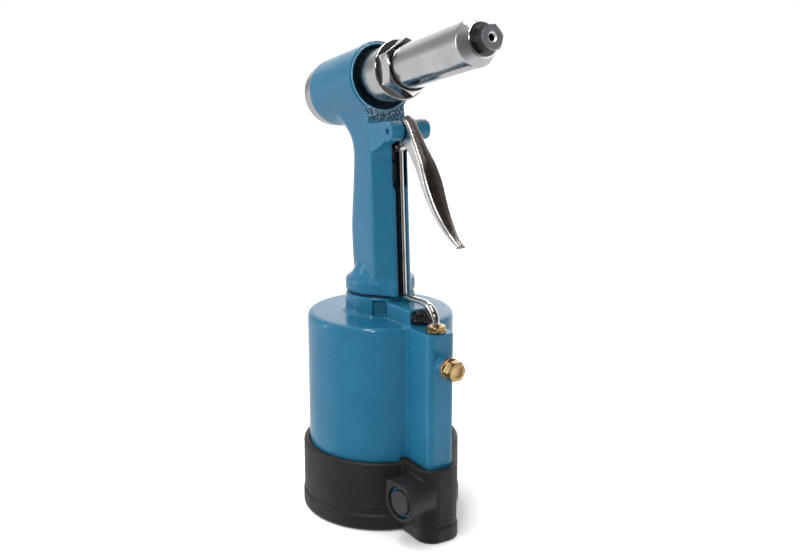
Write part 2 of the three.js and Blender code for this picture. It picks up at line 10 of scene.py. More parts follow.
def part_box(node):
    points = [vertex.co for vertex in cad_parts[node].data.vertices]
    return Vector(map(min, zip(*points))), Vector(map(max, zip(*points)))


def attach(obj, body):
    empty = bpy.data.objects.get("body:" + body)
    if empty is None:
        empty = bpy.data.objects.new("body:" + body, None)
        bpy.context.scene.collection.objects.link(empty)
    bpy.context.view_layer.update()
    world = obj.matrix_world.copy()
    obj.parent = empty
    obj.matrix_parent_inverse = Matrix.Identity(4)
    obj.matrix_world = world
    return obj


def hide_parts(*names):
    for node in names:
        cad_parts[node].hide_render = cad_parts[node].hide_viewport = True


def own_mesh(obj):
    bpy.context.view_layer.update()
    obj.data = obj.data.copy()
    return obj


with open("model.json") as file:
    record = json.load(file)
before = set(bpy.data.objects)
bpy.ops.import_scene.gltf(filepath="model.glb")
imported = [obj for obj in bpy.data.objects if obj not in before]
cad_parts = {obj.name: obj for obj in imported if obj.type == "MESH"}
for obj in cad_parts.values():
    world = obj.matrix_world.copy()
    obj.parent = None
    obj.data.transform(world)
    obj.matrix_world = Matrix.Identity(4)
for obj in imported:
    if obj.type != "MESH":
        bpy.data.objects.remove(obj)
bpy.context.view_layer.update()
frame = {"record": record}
MM = 0.001
noise.seed_set(1)  # without a seed, noise_vector starts from the clock and the silencer differs at each run

# ---- driving dimensions -------------------------------------------------------------------------
BOOT = {"radius": 45.6, "rim": 40.7, "hump_rim": 43.0, "inner": 42.3}
CYLINDER = {"radius": 42.0, "bore": 38.4, "bottom": 4.2, "roof": 111.5, "top": 117.5}
COLUMN = {"back": 30.0, "front": 64.5, "half": 8.0, "corner": 3.0, "top": 118.3}
NECK = {"radius": 20.0, "hole": 13.2, "top": 129.0}
HANDLE = {"bottom": 131.3, "collar": 137.5, "half": 12.4, "oil_bore": 7.0}
BARREL = {"x": 7.3, "z": 250.3, "tilt": math.radians(13.1)}
HEAD = {"radius": 19.9, "rear": -56.0, "front": -5.2, "bore": 15.6}
NOSE = {"radius": 12.0, "start": 14.2, "end": 91.6, "tip": 98.2}
FRONT = {"x": 21, "z": 206, "lean": 0.0521}  # the handle's front line, which leans back going up
NARROW_GROOVE = {"half": 2.8, "deep": 5}
WIDE_GROOVE = {"half": 4.5, "deep": 6}
PIVOT = (28.0, 222.5)
LINK = (22.4, 213.3)
ROD_FOOT = (26.9, 130.6)
VALVE_X = 58.0
PLUG_Z = 101.5
INLET = {"x": 57.0, "z": 27.0, "azimuth": math.radians(-80)}

AHEAD = Vector((math.cos(BARREL["tilt"]), 0, math.sin(BARREL["tilt"])))
ABOVE = Vector((-math.sin(BARREL["tilt"]), 0, math.cos(BARREL["tilt"])))


def placed(x_axis, y_axis, z_axis, origin):
    m = Matrix((x_axis, y_axis, z_axis)).transposed().to_4x4()
    m.translation = Vector(origin)
    return m


IN_BARREL = placed(ABOVE, Vector((0, -1, 0)), AHEAD, (BARREL["x"], 0, BARREL["z"]))
OUTWARD = Vector((math.cos(INLET["azimuth"]), math.sin(INLET["azimuth"]), 0))
IN_INLET = placed(Vector((-OUTWARD.y, OUTWARD.x, 0)), Vector((0, 0, 1)), OUTWARD,
                  (INLET["x"], 0, INLET["z"]))
IN_PLUG = placed(Vector((0, 0, -1)), Vector((0, 1, 0)), Vector((1, 0, 0)), (0, 0, PLUG_Z))
AT_VALVE = Matrix.Translation((VALVE_X, 0, 0))
TOWARD_PIVOT = placed(Vector((1, 0, 0)), Vector((0, 0, 1)), Vector((0, -1, 0)), (PIVOT[0], 0, PIVOT[1]))
TOWARD_LINK = placed(Vector((1, 0, 0)), Vector((0, 0, 1)), Vector((0, -1, 0)), (LINK[0], 0, LINK[1]))


# ---- mesh tools ---------------------------------------------------------------------------------
def solid(name, verts, faces, place=None):
    """A new closed mesh object from millimetre points, with its faces turned outward."""
    bm = bmesh.new()
    made = [bm.verts.new(Vector(v) * MM if place is None else (place @ Vector(v)) * MM) for v in verts]
    for face in faces:
        bm.faces.new([made[i] for i in face])
    bmesh.ops.recalc_face_normals(bm, faces=bm.faces)
    mesh = bpy.data.meshes.new(name)
    bm.to_mesh(mesh)
    bm.free()
    obj = bpy.data.objects.new(name, mesh)
    bpy.context.scene.collection.objects.link(obj)
    return obj


def softened(points, closed=False, steps=4):
    """Points (a, b, cut) with each corner of a cut above zero eased into a short curve."""
    out = []
    n = len(points)
    for i, point in enumerate(points):
        p = Vector(point[:2])
        cut = point[2] if len(point) > 2 else 0
        if cut <= 0 or (not closed and i in (0, n - 1)):
            out.append(tuple(p))
            continue
        before = Vector(points[i - 1][:2]) - p
        after = Vector(points[(i + 1) % n][:2]) - p
        a = p + before.normalized() * min(cut, before.length * 0.49)
        b = p + after.normalized() * min(cut, after.length * 0.49)
        for k in range(steps + 1):
            t = k / steps
            out.append(tuple(a * (1 - t) ** 2 + p * 2 * t * (1 - t) + b * t * t))
    return out


def turned(name, profile, place=None, steps=128):
    """A solid turned about Z from (radius, z, corner cut) points."""
    on_axis = profile[0][0] == 0 and profile[-1][0] == 0
    points = softened(profile, closed=not on_axis)
    verts, rings = [], []
    for r, z in points:
        if r < 1e-6:
            rings.append([len(verts)])
            verts.append((0, 0, z))
            continue
        rings.append(list(range(len(verts), len(verts) + steps)))
        for k in range(steps):
            a = 2 * math.pi * k / steps
            verts.append((r * math.cos(a), r * math.sin(a), z))
    pairs = list(zip(rings, rings[1:]))
    if not on_axis:
        pairs.append((rings[-1], rings[0]))
    faces = []
    for low, high in pairs:
        for k in range(steps):
            j = (k + 1) % steps
            quad = [low[k % len(low)], low[j % len(low)], high[j % len(high)], high[k % len(high)]]
            face = list(dict.fromkeys(quad))
            if len(face) > 2:
                faces.append(face)
    return solid(name, verts, faces, place)


def rod(name, radius, z0, z1, place=None, steps=96):
    return turned(name, [(0, z0), (radius, z0), (radius, z1), (0, z1)], place, steps)


def prism(name, outline, z0, z1, place=None):
    n = len(outline)
    verts = [(x, y, z0) for x, y in outline] + [(x, y, z1) for x, y in outline]
    faces = [[i, (i + 1) % n, n + (i + 1) % n, n + i] for i in range(n)]
    faces += [list(range(n)), list(range(n, 2 * n))]
    return solid(name, verts, faces, place)


def side_prism(name, outline, y0, y1):
    """A prism whose outline is drawn in X and Z and which runs along Y."""
    n = len(outline)
    verts = [(x, y0, z) for x, z in outline] + [(x, y1, z) for x, z in outline]
    faces = [[i, (i + 1) % n, n + (i + 1) % n, n + i] for i in range(n)]
    faces += [list(range(n)), list(range(n, 2 * n))]
    return solid(name, verts, faces)


def block(name, x0, x1, y0, y1, z0, z1, place=None):
    return prism(name, [(x0, y0), (x1, y0), (x1, y1), (x0, y1)], z0, z1, place)


def loft(name, rings, place=None):
    """Skin over closed rings of equal length, with both ends filled."""
    n = len(rings[0])
    verts = [p for ring in rings for p in ring]
    faces = []
    for i in range(len(rings) - 1):
        for j in range(n):
            k = (j + 1) % n
            faces.append([i * n + j, i * n + k, (i + 1) * n + k, (i + 1) * n + j])
    faces += [list(range(n)), list(range((len(rings) - 1) * n, len(rings) * n))]
    return solid(name, verts, faces, place)


def arc(cx, cy, r, start, end, steps):
    return [(cx + r * math.cos(math.radians(start + (end - start) * i / steps)),
             cy + r * math.sin(math.radians(start + (end - start) * i / steps))) for i in range(steps + 1)]


def rounded_bar(back, front, half, corner, steps=14):
    return [(back, -half), *arc(front - corner, -half + corner, corner, -90, 0, steps),
            *arc(front - corner, half - corner, corner, 0, 90, steps), (back, half)]


def settle(obj):
    """Makes the modifiers' result the object's own mesh."""
    graph = bpy.context.evaluated_depsgraph_get()
    mesh = bpy.data.meshes.new_from_object(obj.evaluated_get(graph))
    old = obj.data
    obj.modifiers.clear()
    obj.data = mesh
    bpy.data.meshes.remove(old)
    mesh.name = obj.name
    return obj


def combined(base, operation, tools):
    for tool in tools:
        modifier = base.modifiers.new("combine", "BOOLEAN")
        modifier.solver = "MANIFOLD"
        modifier.operation = operation
        modifier.object = tool
        settle(base)
        bpy.data.objects.remove(tool)
    return base


def joined(base, *tools):
    return combined(base, "UNION", tools)


def cut(base, *tools):
    return combined(base, "DIFFERENCE", tools)


def common(base, *tools):
    return combined(base, "INTERSECT", tools)


def cast(obj, voxel, rounds):
    """Remeshes evenly and relaxes, so that edges and inside corners round off as in a casting."""
    remesh = obj.modifiers.new("remesh", "REMESH")
    remesh.mode = "VOXEL"
    remesh.voxel_size = voxel * MM
    remesh.adaptivity = 0
    settle(obj)
    smooth = obj.modifiers.new("relax", "SMOOTH")
    smooth.factor = 0.5
    smooth.iterations = rounds
    return settle(obj)


def blend_in(obj, weight, rounds):
    """Relaxes the mesh where the weight, from 0 to 1 at a point in millimetres, is above zero."""
    group = obj.vertex_groups.new(name="soft")
    for v in obj.data.vertices:
        share = weight(v.co / MM)
        if share > 0:
            group.add([v.index], share, "REPLACE")
    smooth = obj.modifiers.new("relax", "SMOOTH")
    smooth.factor = 0.5
    smooth.iterations = rounds
    smooth.vertex_group = "soft"
    settle(obj)
    obj.vertex_groups.clear()
    return obj


def shaded(obj, angle=30):
    obj.data.shade_smooth()
    obj.data.set_sharp_from_angle(angle=math.radians(angle))
    return obj


def eased(obj, width, angle=28, segments=3):
    """Fine rounded edges, then smooth shading."""
    bevel = obj.modifiers.new("edge", "BEVEL")
    bevel.width = width * MM
    bevel.segments = segments
    bevel.limit_method = "ANGLE"
    bevel.angle_limit = math.radians(angle)
    bevel.harden_normals = False
    obj.data.shade_smooth()
    settle(obj)
    return shaded(obj, 34)


def hex_head(name, flats, z0, z1, chamfer, turn=0, place=None):
    """A hexagon with its corners turned down at the far end."""
    r = flats / math.sqrt(3)
    outline = arc(0, 0, r, turn, turn + 300, 5)
    head = prism(name, outline, z0, z1, place)
    cone = turned("cone", [(0, z0 - 1), (r + 1, z0 - 1), (r + 1, z1 - chamfer - 0.5), (flats / 2 - 0.2, z1),
                           (0, z1)],
                  place, 96)
    return common(head, cone)


def curve_through(stations, count):
    """Evenly spaced Catmull-Rom values through rows of numbers."""
    out = []
    n = len(stations)
    for i in range(count):
        t = i * (n - 1) / (count - 1)
        k = min(int(t), n - 2)
        u = t - k
        p = [stations[max(0, min(n - 1, k + d))] for d in (-1, 0, 1, 2)]
        out.append([0.5 * (2 * b + (c - a) * u + (2 * a - 5 * b + 4 * c - d) * u * u
                           + (3 * b - a - 3 * c + d) * u ** 3) for a, b, c, d in zip(*p)])
    return out


# ---- materials ----------------------------------------------------------------------------------
class Look:
    """A procedural material: a Principled shader fed by noises in the piece's own space."""

    def __init__(self, name, **settings):
        self.material = bpy.data.materials.new(name)
        self.material.use_nodes = True
        self.tree = self.material.node_tree
        self.shader = self.tree.nodes["Principled BSDF"]
        self.place = self.tree.nodes.new("ShaderNodeTexCoord").outputs["Object"]
        self.normal = None
        for key, value in settings.items():
            self.shader.inputs[key.replace("_", " ")].default_value = value

    def link(self, source, target):
        self.tree.links.new(source, target)

    def stretched(self, place, scale):
        node = self.tree.nodes.new("ShaderNodeMapping")
        node.inputs["Scale"].default_value = scale
        self.link(place, node.inputs["Vector"])
        return node.outputs["Vector"]

    def noise(self, size, detail=3.0, rough=0.5, place=None, distortion=0.0):
        node = self.tree.nodes.new("ShaderNodeTexNoise")
        node.inputs["Scale"].default_value = 1 / (size * MM)
        node.inputs["Detail"].default_value = detail
        node.inputs["Roughness"].default_value = rough
        node.inputs["Distortion"].default_value = distortion
        self.link(place or self.place, node.inputs["Vector"])
        return node.outputs["Fac"]

    def cells(self, size):
        node = self.tree.nodes.new("ShaderNodeTexVoronoi")
        node.feature = "SMOOTH_F1"
        node.inputs["Scale"].default_value = 1 / (size * MM)
        self.link(self.place, node.inputs["Vector"])
        return node.outputs["Distance"]

    def remap(self, value, low, high, to_low, to_high, smooth=False):
        node = self.tree.nodes.new("ShaderNodeMapRange")
        if smooth:
            node.interpolation_type = "SMOOTHSTEP"
        for key, number in (("From Min", low), ("From Max", high), ("To Min", to_low), ("To Max", to_high)):
            node.inputs[key].default_value = number
        self.link(value, node.inputs["Value"])
        return node.outputs["Result"]

    def math(self, operation, a, b=None):
        node = self.tree.nodes.new("ShaderNodeMath")
        node.operation = operation
        for socket, value in zip(node.inputs, (a, b)):
            if value is None:
                continue
            if isinstance(value, (int, float)):
                socket.default_value = value
            else:
                self.link(value, socket)
        return node.outputs[0]

    def blend(self, factor, first, second):
        node = self.tree.nodes.new("ShaderNodeMix")
        node.data_type = "RGBA"
        self.link(factor, node.inputs[0])
        for socket, value in ((node.inputs[6], first), (node.inputs[7], second)):
            if isinstance(value, tuple):
                socket.default_value = (*value, 1)
            else:
                self.link(value, socket)
        return node.outputs[2]

    def edges(self, low, high):
        """High on outside edges."""
        node = self.tree.nodes.new("ShaderNodeNewGeometry")
        return self.remap(node.outputs["Pointiness"], low, high, 0, 1, smooth=True)

    def along(self, direction, offset):
        """Distance in millimetres along a direction, in the piece's own space."""
        node = self.tree.nodes.new("ShaderNodeVectorMath")
        node.operation = "DOT_PRODUCT"
        node.inputs[1].default_value = Vector(direction) / MM
        self.link(self.place, node.inputs[0])
        return self.math("SUBTRACT", node.outputs["Value"], offset)

    def radial(self, place):
        """Distance in millimetres from a frame's Z axis."""
        axis = place.to_3x3().col[2]
        offset = self.tree.nodes.new("ShaderNodeVectorMath")
        offset.operation = "SUBTRACT"
        offset.inputs[1].default_value = place.translation * MM
        self.link(self.place, offset.inputs[0])
        cross = self.tree.nodes.new("ShaderNodeVectorMath")
        cross.operation = "CROSS_PRODUCT"
        cross.inputs[1].default_value = axis / MM
        self.link(offset.outputs["Vector"], cross.inputs[0])
        length = self.tree.nodes.new("ShaderNodeVectorMath")
        length.operation = "LENGTH"
        self.link(cross.outputs["Vector"], length.inputs[0])
        return length.outputs["Value"]

    def facing_side(self):
        """The Y part of the surface normal, in the object's own frame."""
        parts = self.tree.nodes.new("ShaderNodeSeparateXYZ")
        self.link(self.tree.nodes.new("ShaderNodeTexCoord").outputs["Normal"], parts.inputs[0])
        return parts.outputs["Y"]

    def both(self, *masks):
        """The product of several masks."""
        product = masks[0]
        for mask in masks[1:]:
            product = self.math("MULTIPLY", product, mask)
        return product

    def bump(self, height, distance, strength=1.0):
        node = self.tree.nodes.new("ShaderNodeBump")
        node.inputs["Distance"].default_value = distance * MM
        if isinstance(strength, float):
            node.inputs["Strength"].default_value = strength
        else:
            self.link(strength, node.inputs["Strength"])
        self.link(height, node.inputs["Height"])
        if self.normal is not None:
            self.link(self.normal, node.inputs["Normal"])
        self.normal = node.outputs["Normal"]
        self.link(self.normal, self.shader.inputs["Normal"])

    def color(self, source):
        self.link(source, self.shader.inputs["Base Color"])

    def roughness(self, source):
        self.link(source, self.shader.inputs["Roughness"])


def paint_look():
    """Blue paint over a casting, with a rough face under the sleeve. Painted light is held in the colour:
    painted shade and painted glints on that face, a painted highlight on the head's rim, painted shade in the
    counterbore, the grooves and the front facets, and lighter edges that are partly wear, partly painted
    highlight.
    """
    look = Look("cast_paint", Coat_Weight=0.52, Coat_Roughness=0.06, Specular_IOR_Level=0.16)
    cloud = look.noise(26, 4, 0.55)
    base = look.blend(look.remap(cloud, 0.3, 0.7, 0, 1), (0.0085, 0.102, 0.188), (0.0125, 0.128, 0.225))
    mottle = look.remap(look.noise(1.1, 2, 0.5, distortion=1.1), 0.36, 0.62, 0, 0.30)
    base = look.blend(mottle, base, (0.0035, 0.066, 0.132))
    # Lighter paint on outer edges, broken up by noise: partly paint worn off the edges, partly a painted
    # highlight along the edges and the groove lips.
    wear_and_highlight = look.both(look.edges(0.56, 0.64), look.remap(look.noise(1.6, 3), 0.42, 0.6, 0, 0.75))
    base = look.blend(wear_and_highlight, base, (0.16, 0.34, 0.46))

    ahead = look.along(AHEAD, BARREL["x"] * AHEAD.x + BARREL["z"] * AHEAD.z)
    radial = look.radial(IN_BARREL)
    height = look.along((0, 0, 1), 0)
    face = look.both(look.remap(ahead, -6.9, -6.1, 0, 1), look.remap(height, 225.6, 227.2, 0, 1),
                     look.remap(radial, 34, 36, 1, 0), look.remap(look.along((0, 1, 0), 0), -14, -9, 0, 1))
    # Painted light on the rough face under the sleeve: dark navy painted shade, with painted white glints
    # where the noise is high. The bump on this face is the real rough surface.
    glint_mask = look.remap(look.noise(0.8, 2, 0.5, distortion=0.8), 0.50, 0.66, 0, 1)
    face_shade_and_glints = look.blend(glint_mask, (0.004, 0.050, 0.100), (0.42, 0.60, 0.68))
    base = look.blend(face, base, face_shade_and_glints)
    # Painted highlight: a thin light line along the head's front rim, stronger towards the top.
    rim = look.both(look.remap(radial, 18.0, 18.25, 0, 1), look.remap(radial, 18.6, 18.85, 1, 0),
                    look.remap(ahead, -6.9, -6.1, 0, 1), look.remap(height, 228, 232, 0, 0.8))
    base = look.blend(rim, base, (0.20, 0.42, 0.53))
    # Painted shade: near-black navy in the counterbore round the sleeve.
    recess_shade = look.both(look.remap(radial, 17.7, 18.1, 1, 0), look.remap(ahead, -9.5, -9, 0, 1))
    base = look.blend(recess_shade, base, (0.003, 0.020, 0.038))

    front = look.along((1, 0, FRONT["lean"]), 31.73)
    side = look.math("ABSOLUTE", look.along((0, 1, 0), 0))
    # Painted shade: the grooves up the handle's front are coloured near black.
    groove = look.both(look.remap(front, -0.9, -0.45, 1, 0), look.remap(front, -8, -7, 0, 1),
                       look.remap(side, 4.65, 4.8, 1, 0),
                       look.remap(height, 130, 130.6, 0, 1), look.remap(height, 216, 218, 1, 0))
    # Painted shade: the front facets beside the groove are darkened where the trigger shades them.
    facet_shade = look.both(look.remap(front, -10.6, -9.8, 0, 1), look.remap(height, 139, 142, 0, 1),
                      look.remap(height, 207, 209.5, 1, 0), look.remap(side, 12.6, 13, 1, 0))
    base = look.blend(look.math("MULTIPLY", facet_shade, 0.45), base, (0.004, 0.062, 0.120))
    look.color(look.blend(groove, base, (0.0015, 0.006, 0.011)))
    look.roughness(look.remap(look.noise(5, 4, 0.6), 0.3, 0.7, 0.26, 0.40))
    look.bump(look.noise(6.5, 2, 0.5), 0.22, 0.30)
    look.bump(look.noise(1.8, 1.5, 0.45, distortion=0.6), 0.12, 0.6)
    look.bump(look.noise(0.8, 2, 0.5, distortion=0.8), 0.5, look.math("MULTIPLY", face, 0.9))
    return look.material


def rubber_look():
    """Matt black rubber with two fine ring lines."""
    look = Look("moulded_rubber", Specular_IOR_Level=0.30)
    cloud = look.noise(18, 4, 0.6)
    base = look.blend(look.remap(cloud, 0.3, 0.7, 0, 1), (0.0115, 0.0097, 0.0094), (0.0180, 0.0158, 0.0152))
    scuff = look.math("MULTIPLY", look.edges(0.51, 0.57), look.noise(2.5, 3))
    look.color(look.blend(scuff, base, (0.035, 0.033, 0.033)))
    look.roughness(look.remap(look.noise(7, 5, 0.65), 0.3, 0.7, 0.40, 0.52))
    look.bump(look.noise(0.5, 3, 0.6), 0.03, 0.35)
    look.bump(look.noise(9, 2), 0.20, 0.16)
    height = look.along((0, 0, 1), 0)
    for level in (12.6, 15.4):
        line = look.remap(look.math("ABSOLUTE", look.math("SUBTRACT", height, level)), 0.15, 0.5, 0, 1)
        look.bump(line, 0.35, 0.7)
    return look.material


def turned_metal(name, color, dark, rough, axis_place, lines=0.16):
    """Metal with fine lathe lines round the given axis."""
    look = Look(name, Metallic=1.0)
    axis = axis_place.to_3x3().col[2]
    origin = axis_place.translation
    along = look.along(axis, origin.dot(axis))
    fine = look.tree.nodes.new("ShaderNodeTexNoise")
    fine.noise_dimensions = "1D"
    fine.inputs["Scale"].default_value = 1 / lines
    fine.inputs["Detail"].default_value = 4
    look.link(along, fine.inputs["W"])
    look.color(look.blend(look.remap(look.noise(14, 4, 0.6), 0.3, 0.7, 0, 1), color, dark))
    look.roughness(look.remap(look.noise(4, 4, 0.6), 0.3, 0.7, rough - 0.04, rough + 0.04))
    look.bump(fine.outputs["Fac"], 0.006, 0.5)
    return look.material


def plain_metal(name, color, dark, rough, spread=0.06, grain=0.6, depth=0.02):
    look = Look(name, Metallic=1.0)
    look.color(look.blend(look.remap(look.noise(6, 4, 0.6), 0.3, 0.7, 0, 1), color, dark))
    look.roughness(look.remap(look.noise(2.4, 4, 0.6), 0.3, 0.7, rough - spread, rough + spread))
    look.bump(look.noise(grain, 3), depth, 0.4)
    return look.material


def trigger_look():
    """Plated metal whose colour follows the way each surface faces: painted reflection makes the flanges and
    sideways edges bright and leaves the face darker, with painted shade on the plates tucked into the slot.
    """
    look = Look("plated_trigger", Metallic=1.0)
    streaks = look.noise(2.2, 4, 0.6, look.stretched(look.place, (3.2, 1.0, 0.5)))
    tone = look.blend(look.remap(streaks, 0.3, 0.7, 0, 1), (0.36, 0.30, 0.265), (0.26, 0.21, 0.18))
    # Painted reflection: surfaces that face sideways, ahead of the pivot, are coloured bright, while the face
    # keeps the darker tone.
    flange = look.both(look.remap(look.math("ABSOLUTE", look.facing_side()), 0.35, 0.65, 0, 1),
                       look.remap(look.along((1, 0, 0), 0), 29, 33, 0, 1))
    tone = look.blend(flange, tone, (0.78, 0.765, 0.745))
    # Painted shade: the plates tucked into the slot, behind x = 27 mm, are coloured near black.
    tucked_shade = look.remap(look.along((1, 0, 0), 0), 26.2, 27.8, 1, 0)
    look.color(look.blend(tucked_shade, tone, (0.05, 0.045, 0.042)))
    look.roughness(look.remap(look.noise(3, 4, 0.6), 0.3, 0.7, 0.22, 0.34))
    look.bump(look.noise(0.8, 3, place=look.stretched(look.place, (1, 1, 0.2))), 0.02, 0.4)
    return look.material


def dull(name, color, other, rough, grain=0.5, depth=0.04):
    look = Look(name)
    look.color(look.blend(look.remap(look.noise(8, 4, 0.6), 0.3, 0.7, 0, 1), color, other))
    look.roughness(look.remap(look.noise(3, 4), 0.3, 0.7, rough - 0.06, rough + 0.06))
    look.bump(look.noise(grain, 3, 0.6), depth, 0.5)
    return look.material


def nosepiece_look():
    """Black oxide, rubbed grey on the end face, with a bright ring round the bore."""
    look = Look("rubbed_black_oxide", Metallic=0.8)
    ahead = look.along(AHEAD, BARREL["x"] * AHEAD.x + BARREL["z"] * AHEAD.z)
    radial = look.radial(IN_BARREL)
    base = look.blend(look.remap(look.noise(3, 4, 0.6), 0.3, 0.7, 0, 1), (0.030, 0.030, 0.033),
                      (0.052, 0.051, 0.054))
    rubbed = look.both(look.remap(ahead, NOSE["tip"] - 0.5, NOSE["tip"] - 0.1, 0, 1),
                       look.remap(look.noise(1.5, 4), 0.3, 0.6, 0.7, 1))
    base = look.blend(rubbed, base, (0.34, 0.34, 0.37))
    ring = look.both(look.remap(radial, 2.55, 2.75, 1, 0),
                     look.remap(ahead, NOSE["tip"] - 1.2, NOSE["tip"] - 0.9, 0, 1))
    look.color(look.blend(ring, base, (0.95, 0.95, 0.96)))
    look.roughness(look.remap(look.noise(1.2, 4), 0.3, 0.7, 0.3, 0.44))
    look.bump(look.noise(0.5, 3), 0.03, 0.4)
    return look.material


def sponge_look():
    look = Look("porous_silencer", Specular_IOR_Level=0.7)
    pits = look.cells(1.1)
    look.color(look.blend(look.remap(pits, 0.1, 0.6, 0, 1), (0.012, 0.012, 0.013), (0.003, 0.003, 0.003)))
    look.roughness(look.remap(look.noise(0.8, 3), 0.3, 0.7, 0.2, 0.5))
    look.bump(pits, 0.5, 0.9)
    look.bump(look.noise(0.6, 4), 0.2, 0.6)
    return look.material


PAINT = paint_look()
RUBBER = rubber_look()
BARREL_CHROME = turned_metal("polished_barrel", (0.70, 0.705, 0.72), (0.58, 0.585, 0.60), 0.15, IN_BARREL)
SLEEVE_METAL = turned_metal("turned_sleeve", (0.66, 0.65, 0.65), (0.56, 0.55, 0.55), 0.2, IN_BARREL,
                            lines=0.1)
NUT_CHROME = plain_metal("bright_nut", (0.74, 0.735, 0.74), (0.56, 0.55, 0.56), 0.12, 0.05, 1.2, 0.03)
ROD_CHROME = plain_metal("bright_rod", (0.78, 0.765, 0.74), (0.56, 0.54, 0.52), 0.13, 0.05, 1.0, 0.02)
CAP_SILVER = turned_metal("satin_cap", (0.64, 0.64, 0.65), (0.50, 0.505, 0.51), 0.26, IN_BARREL, lines=0.22)
NOSE_BLACK = nosepiece_look()
BRASS = plain_metal("turned_brass", (0.64, 0.45, 0.22), (0.42, 0.27, 0.12), 0.22, 0.06, 0.6, 0.03)
COPPER = plain_metal("soft_copper", (0.72, 0.36, 0.20), (0.55, 0.26, 0.15), 0.34)
NICKEL = trigger_look()
STEEL = plain_metal("ground_steel", (0.62, 0.63, 0.65), (0.47, 0.48, 0.50), 0.30)
ALUMINIUM = plain_metal("machined_aluminium", (0.76, 0.77, 0.78), (0.64, 0.65, 0.66), 0.34)
SEAL = dull("nitrile_seal", (0.010, 0.010, 0.010), (0.018, 0.018, 0.018), 0.55)
URETHANE = dull("amber_urethane", (0.34, 0.15, 0.035), (0.25, 0.10, 0.022), 0.4)
PLASTIC = dull("moulded_plug", (0.013, 0.013, 0.0145), (0.020, 0.020, 0.022), 0.42, 0.4, 0.03)
SPONGE = sponge_look()


def finished(obj, material, body, slot, *nodes):
    obj.data.materials.clear()
    obj.data.materials.append(material)
    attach(obj, body)
    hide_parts(*nodes)


# ---- boot ---------------------------------------------------------------------------------------
def build_boot():
    r, rim = BOOT["radius"], BOOT["rim"]
    boot = turned("boot_rubber", [
        (0, 0), (r - 0.6, 0, 0.8), (r + 0.7, 1.4, 0.8), (r + 0.7, 8.8, 0.5), (r - 0.5, 9.9, 0.3),
        (r - 0.5, 11.7, 0.3),
        (r + 0.1, 12.5, 0.5), (r, rim - 1.2, 0.8), (r - 0.9, rim, 0.8), (0, rim)], steps=200)
    hump = prism("hump", rounded_bar(20, 68.4, 12.2, 9.6), 0, BOOT["hump_rim"])
    foot = prism("foot", rounded_bar(20, 69, 12.8, 10.1), 1, 8.8)
    boss = rod("boss", 10.8, 8, 26, IN_INLET)
    corner = prism("corner", [(-10.8, 0), (0, 0), (0, 10.8), *arc(-7.8, 7.8, 3, 90, 180, 8)], 8, 26, IN_INLET)
    joined(boot, hump, foot, boss, corner)
    inner = turned("inner", [(0, 3.6), (BOOT["inner"], 3.6), (BOOT["inner"], 60), (0, 60)], steps=160)
    opening = rod("opening", 31, -1, 5)
    pocket = prism("pocket", rounded_bar(20, COLUMN["front"] + 0.3, COLUMN["half"] + 0.3,
                                         COLUMN["corner"] + 0.3),
                   3.6, 60)
    cut(boot, inner, opening, pocket)
    cast(boot, 0.5, 5)
    cut(boot, rod("port", 9, 6.6, 30, IN_INLET, 96))
    return shaded(boot, 40)


finished(build_boot(), RUBBER, "tool_body", "rubber", "boot")

plug = turned("dust_plug_cap", [
    (0, 13), (4.2, 13, 0.4), (5, 14, 0.3), (5, 16.4), (4.6, 16.8), (4.6, 17.4), (5, 17.8), (5, 20, 0.2),
    (7.2, 20.6, 0.3),
    (7.2, 24.9, 0.6), (6.4, 25.7, 0.5), (5.6, 25.6, 0.3), (0, 25.45)], IN_INLET, 96)
finished(shaded(plug, 50), PLASTIC, "dust_plug", "plastic", "dust_plug")


# ---- air cylinder -------------------------------------------------------------------------------
def build_cylinder():
    r, bottom, top = CYLINDER["radius"], CYLINDER["bottom"], CYLINDER["top"]
    body = turned("air_cylinder_casting", [
        (0, bottom), (r, bottom), (r, top - 2.6, 0.5), (r - 0.8, top - 0.7, 0.5), (r - 2.6, top, 1),
        (0, top)], steps=200)
    column = prism("column", rounded_bar(COLUMN["back"], COLUMN["front"], COLUMN["half"], COLUMN["corner"]),
                   bottom, COLUMN["top"])
    neck = turned("neck", [
        (0, top - 2), (NECK["radius"] + 2.2, top - 0.2), (NECK["radius"] + 0.6, top + 0.6),
        (NECK["radius"], top + 2.2),
        (NECK["radius"], NECK["top"] - 1), (NECK["radius"] - 1, NECK["top"]), (0, NECK["top"])], steps=160)
    web = prism("web", [(10, -12.5), (16, -11.6), (22, -9.2), (30, -8), (43, -7.6), (43, 7.6), (30, 8),
                        (22, 9.2),
                        (16, 11.6), (10, 12.5)], top - 4, 127.4)
    joined(neck, web)
    for azimuth in (-32, 32, 148, -148):
        turn = Matrix.Rotation(math.radians(azimuth), 4, "Z")
        cut(neck, block("notch", 17.2, 24, -4, 4, top + 0.8, 127.2, turn))
    cut(neck, block("pocket", 38.6, 50, -5.8, 5.8, COLUMN["top"] + 1, 126))
    plug_boss = rod("plug_boss", 4.8, 60, 70.2, IN_PLUG, 64)
    port = turned("port", [(0, 3), (6, 3), (6, 7), (8.6, 7), (8.6, 24), (8.2, 24.4), (0, 24.4)], IN_INLET, 96)
    joined(body, column, neck, plug_boss, port)
    cast(body, 0.55, 6)
    bore, roof, hole = CYLINDER["bore"], CYLINDER["roof"], NECK["hole"]
    chamber = turned("chamber", [
        (0, bottom - 1), (39.6, bottom - 1), (39.6, 5.9), (bore, 5.9), (bore, roof - 2), (bore - 2, roof),
        (hole, roof), (hole, 130), (0, 130)], steps=128)
    return cut(body, chamber, rod("valve_bore", 4.3, 62, 120, AT_VALVE, 64),
               rod("valve_port", 3.2, 14, 63, AT_VALVE, 48),
               rod("plug_port", 3.5, 63.4, 72, IN_PLUG, 48), rod("inlet", 7.2, 12, 26, IN_INLET, 96),
               rod("mouth", 7.5, 20.3, 26, IN_INLET, 96),
               rod("inlet_port", 2.6, 0.5, 13, IN_INLET, 48))


finished(shaded(build_cylinder(), 42), PAINT, "tool_body", "paint", "air_cylinder")


LUMPS = 30


